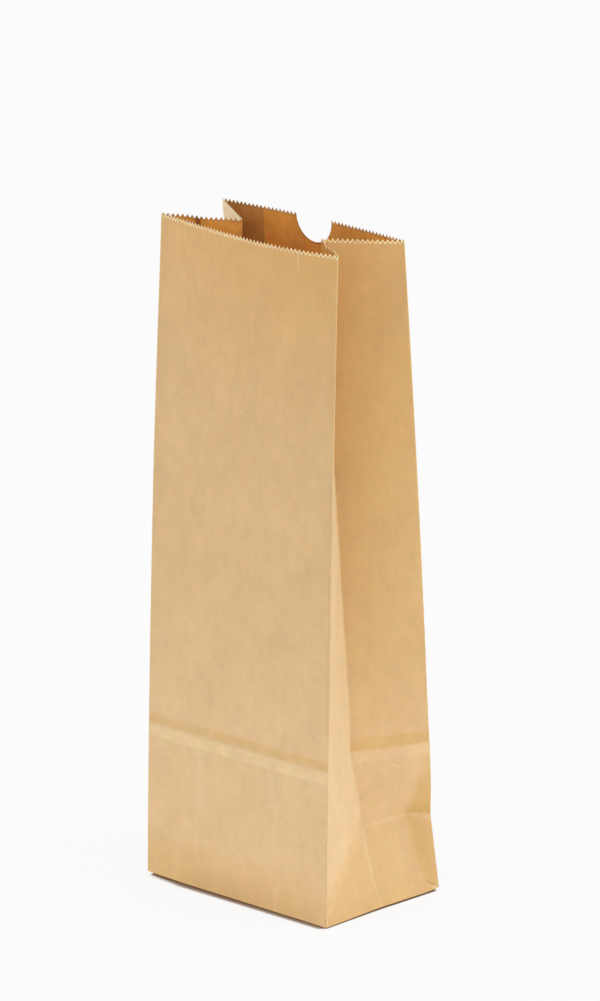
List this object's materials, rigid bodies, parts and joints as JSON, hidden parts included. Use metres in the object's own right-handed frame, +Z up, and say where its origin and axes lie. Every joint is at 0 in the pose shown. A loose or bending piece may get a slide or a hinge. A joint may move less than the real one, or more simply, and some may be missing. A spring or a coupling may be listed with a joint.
{
  "type": "paper lunch bag",
  "caption": "Open brown kraft paper lunch bag with a flat folded bottom, side gussets, a saw-toothed rim and a thumb notch.",
  "frame": {"origin": "middle of the bottom rectangle, on the surface that the bag stands on", "axes": "+Z up to the mouth, front panel towards -Y, back panel with the thumb notch towards +Y, gussets at +X and -X"},
  "size_m": [0.12, 0.08, 0.3315],
  "materials": {
    "kraft_paper": "uncoated brown kraft paper, matt, fine fibres along the height"
  },
  "bodies": {
    "root": {"paper_bag": "kraft_paper"}
  },
  "joints": []
}
